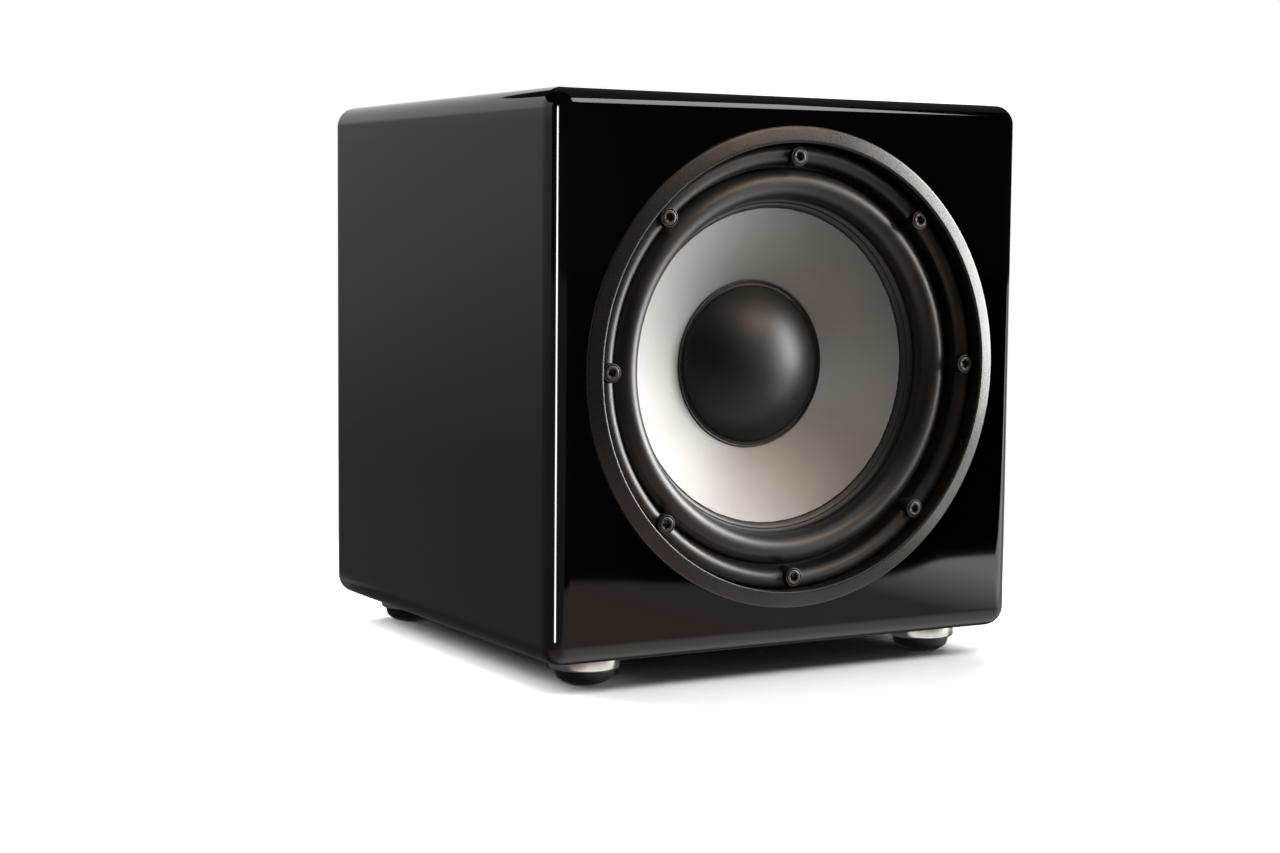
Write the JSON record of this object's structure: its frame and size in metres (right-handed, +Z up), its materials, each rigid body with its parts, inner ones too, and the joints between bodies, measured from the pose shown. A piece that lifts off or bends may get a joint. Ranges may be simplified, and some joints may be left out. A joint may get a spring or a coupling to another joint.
{
  "type": "subwoofer",
  "caption": "Cube-shaped active subwoofer in gloss black lacquer, with one front driver in a round metal trim ring, round feet and an amplifier panel behind.",
  "frame": {"origin": "on the floor, under the middle of the whole object's box", "axes": "+Z up; the driver faces -Y and the amplifier's plate faces +Y; +X is to the right seen from the front"},
  "size_m": [0.365, 0.385, 0.383],
  "materials": {
    "black_lacquer": "high-gloss black lacquer over fibreboard",
    "fibreboard": "raw sawn fibreboard",
    "wadding": "loose white polyester fibre",
    "cast_frame": "cast, black powder coat",
    "ring_metal": "cast ring with fine-grained satin dark-grey coat",
    "foam_seal": "closed-cell foam",
    "gasket_rubber": "satin moulded rubber",
    "surround_rubber": "satin butyl rubber",
    "foot_rubber": "smooth black rubber",
    "cone_metal": "satin silver-grey anodised",
    "cap_satin_black": "satin black coat",
    "former_aluminium": "rolled foil",
    "copper_winding": "enamelled copper wire",
    "spider_cloth": "resin-dipped woven cloth",
    "zinc_steel": "zinc-plated steel",
    "ferrite": "pressed ferrite",
    "polished_steel": "turned and polished",
    "black_screw": "black oxide",
    "black_moulding": "fine-sparked black moulding",
    "amp_black": "black anodised, brushed",
    "pot_metal": "plated stamping",
    "lamp_lens": "tinted clear lens",
    "circuit_board": "solder-masked laminate",
    "lead_jacket": "smooth jacket"
  },
  "bodies": {
    "cabinet": {"cabinet_shell": "black_lacquer", "baffle_doubler": "fibreboard", "window_brace": "fibreboard", "wadding_left": "wadding", "wadding_right": "wadding", "driver_basket": "cast_frame", "mounting_seal": "foam_seal", "trim_ring": "ring_metal", "clamp_gasket": "gasket_rubber", "surround": "surround_rubber", "spider": "spider_cloth", "top_plate": "zinc_steel", "magnet": "ferrite", "yoke": "zinc_steel", "magnet_boot": "gasket_rubber", "driver_terminal": "black_moulding", "amp_seal": "foam_seal", "amp_plate": "amp_black", "heat_sink": "amp_black", "power_switch_frame": "black_moulding", "mode_switch_body": "black_moulding", "power_inlet": "black_moulding", "signal_jacks": "black_moulding", "status_lamp": "lamp_lens", "circuit_board": "circuit_board", "transformer": "copper_winding", "speaker_lead": "lead_jacket", "driver_screw_1": "black_screw", "driver_screw_2": "black_screw", "driver_screw_3": "black_screw", "driver_screw_4": "black_screw", "driver_screw_5": "black_screw", "driver_screw_6": "black_screw", "driver_screw_7": "black_screw", "driver_screw_8": "black_screw", "foot_collar_front_left": "polished_steel", "foot_pad_front_left": "foot_rubber", "foot_screw_front_left": "zinc_steel", "foot_collar_front_right": "polished_steel", "foot_pad_front_right": "foot_rubber", "foot_screw_front_right": "zinc_steel", "foot_collar_back_left": "polished_steel", "foot_pad_back_left": "foot_rubber", "foot_screw_back_left": "zinc_steel", "foot_collar_back_right": "polished_steel", "foot_pad_back_right": "foot_rubber", "foot_screw_back_right": "zinc_steel", "volume_pot": "pot_metal", "crossover_pot": "pot_metal", "phase_pot": "pot_metal"},
    "cone_assembly": {"cone": "cone_metal", "dust_cap": "cap_satin_black", "coil_former": "former_aluminium", "voice_coil": "copper_winding"},
    "volume_control": {"volume_knob": "black_moulding"},
    "crossover_control": {"crossover_knob": "black_moulding"},
    "phase_control": {"phase_knob": "black_moulding"},
    "rocker": {"power_rocker": "black_moulding"},
    "mode_selector": {"mode_lever": "black_moulding"},
    "fuse_tray": {"fuse_drawer": "black_moulding"}
  },
  "joints": [
    {"name": "cone_travel", "type": "slide", "parent": "cabinet", "child": "cone_assembly", "axis": [0, -1, 0], "range_m": [-0.012, 0.012], "stiffness_N_per_m": 5000, "deforming": ["surround", "spider"]},
    {"name": "volume_turn", "type": "hinge", "parent": "cabinet", "child": "volume_control", "pos_m": [0.075, 0.1841, 0.2055], "axis": [0, 1, 0], "range_deg": [-150, 150]},
    {"name": "crossover_turn", "type": "hinge", "parent": "cabinet", "child": "crossover_control", "pos_m": [0.015, 0.1841, 0.2055], "axis": [0, 1, 0], "range_deg": [-150, 150]},
    {"name": "phase_turn", "type": "hinge", "parent": "cabinet", "child": "phase_control", "pos_m": [-0.045, 0.1841, 0.2055], "axis": [0, 1, 0], "range_deg": [-150, 150]},
    {"name": "power_rock", "type": "hinge", "parent": "cabinet", "child": "rocker", "pos_m": [0.075, 0.1751, 0.1605], "axis": [1, 0, 0], "range_deg": [0, 22]},
    {"name": "mode_slide", "type": "slide", "parent": "cabinet", "child": "mode_selector", "axis": [-1, 0, 0], "range_m": [0, 0.005]},
    {"name": "fuse_drawer_slide", "type": "slide", "parent": "cabinet", "child": "fuse_tray", "axis": [0, 1, 0], "range_m": [0, 0.018]}
  ]
}
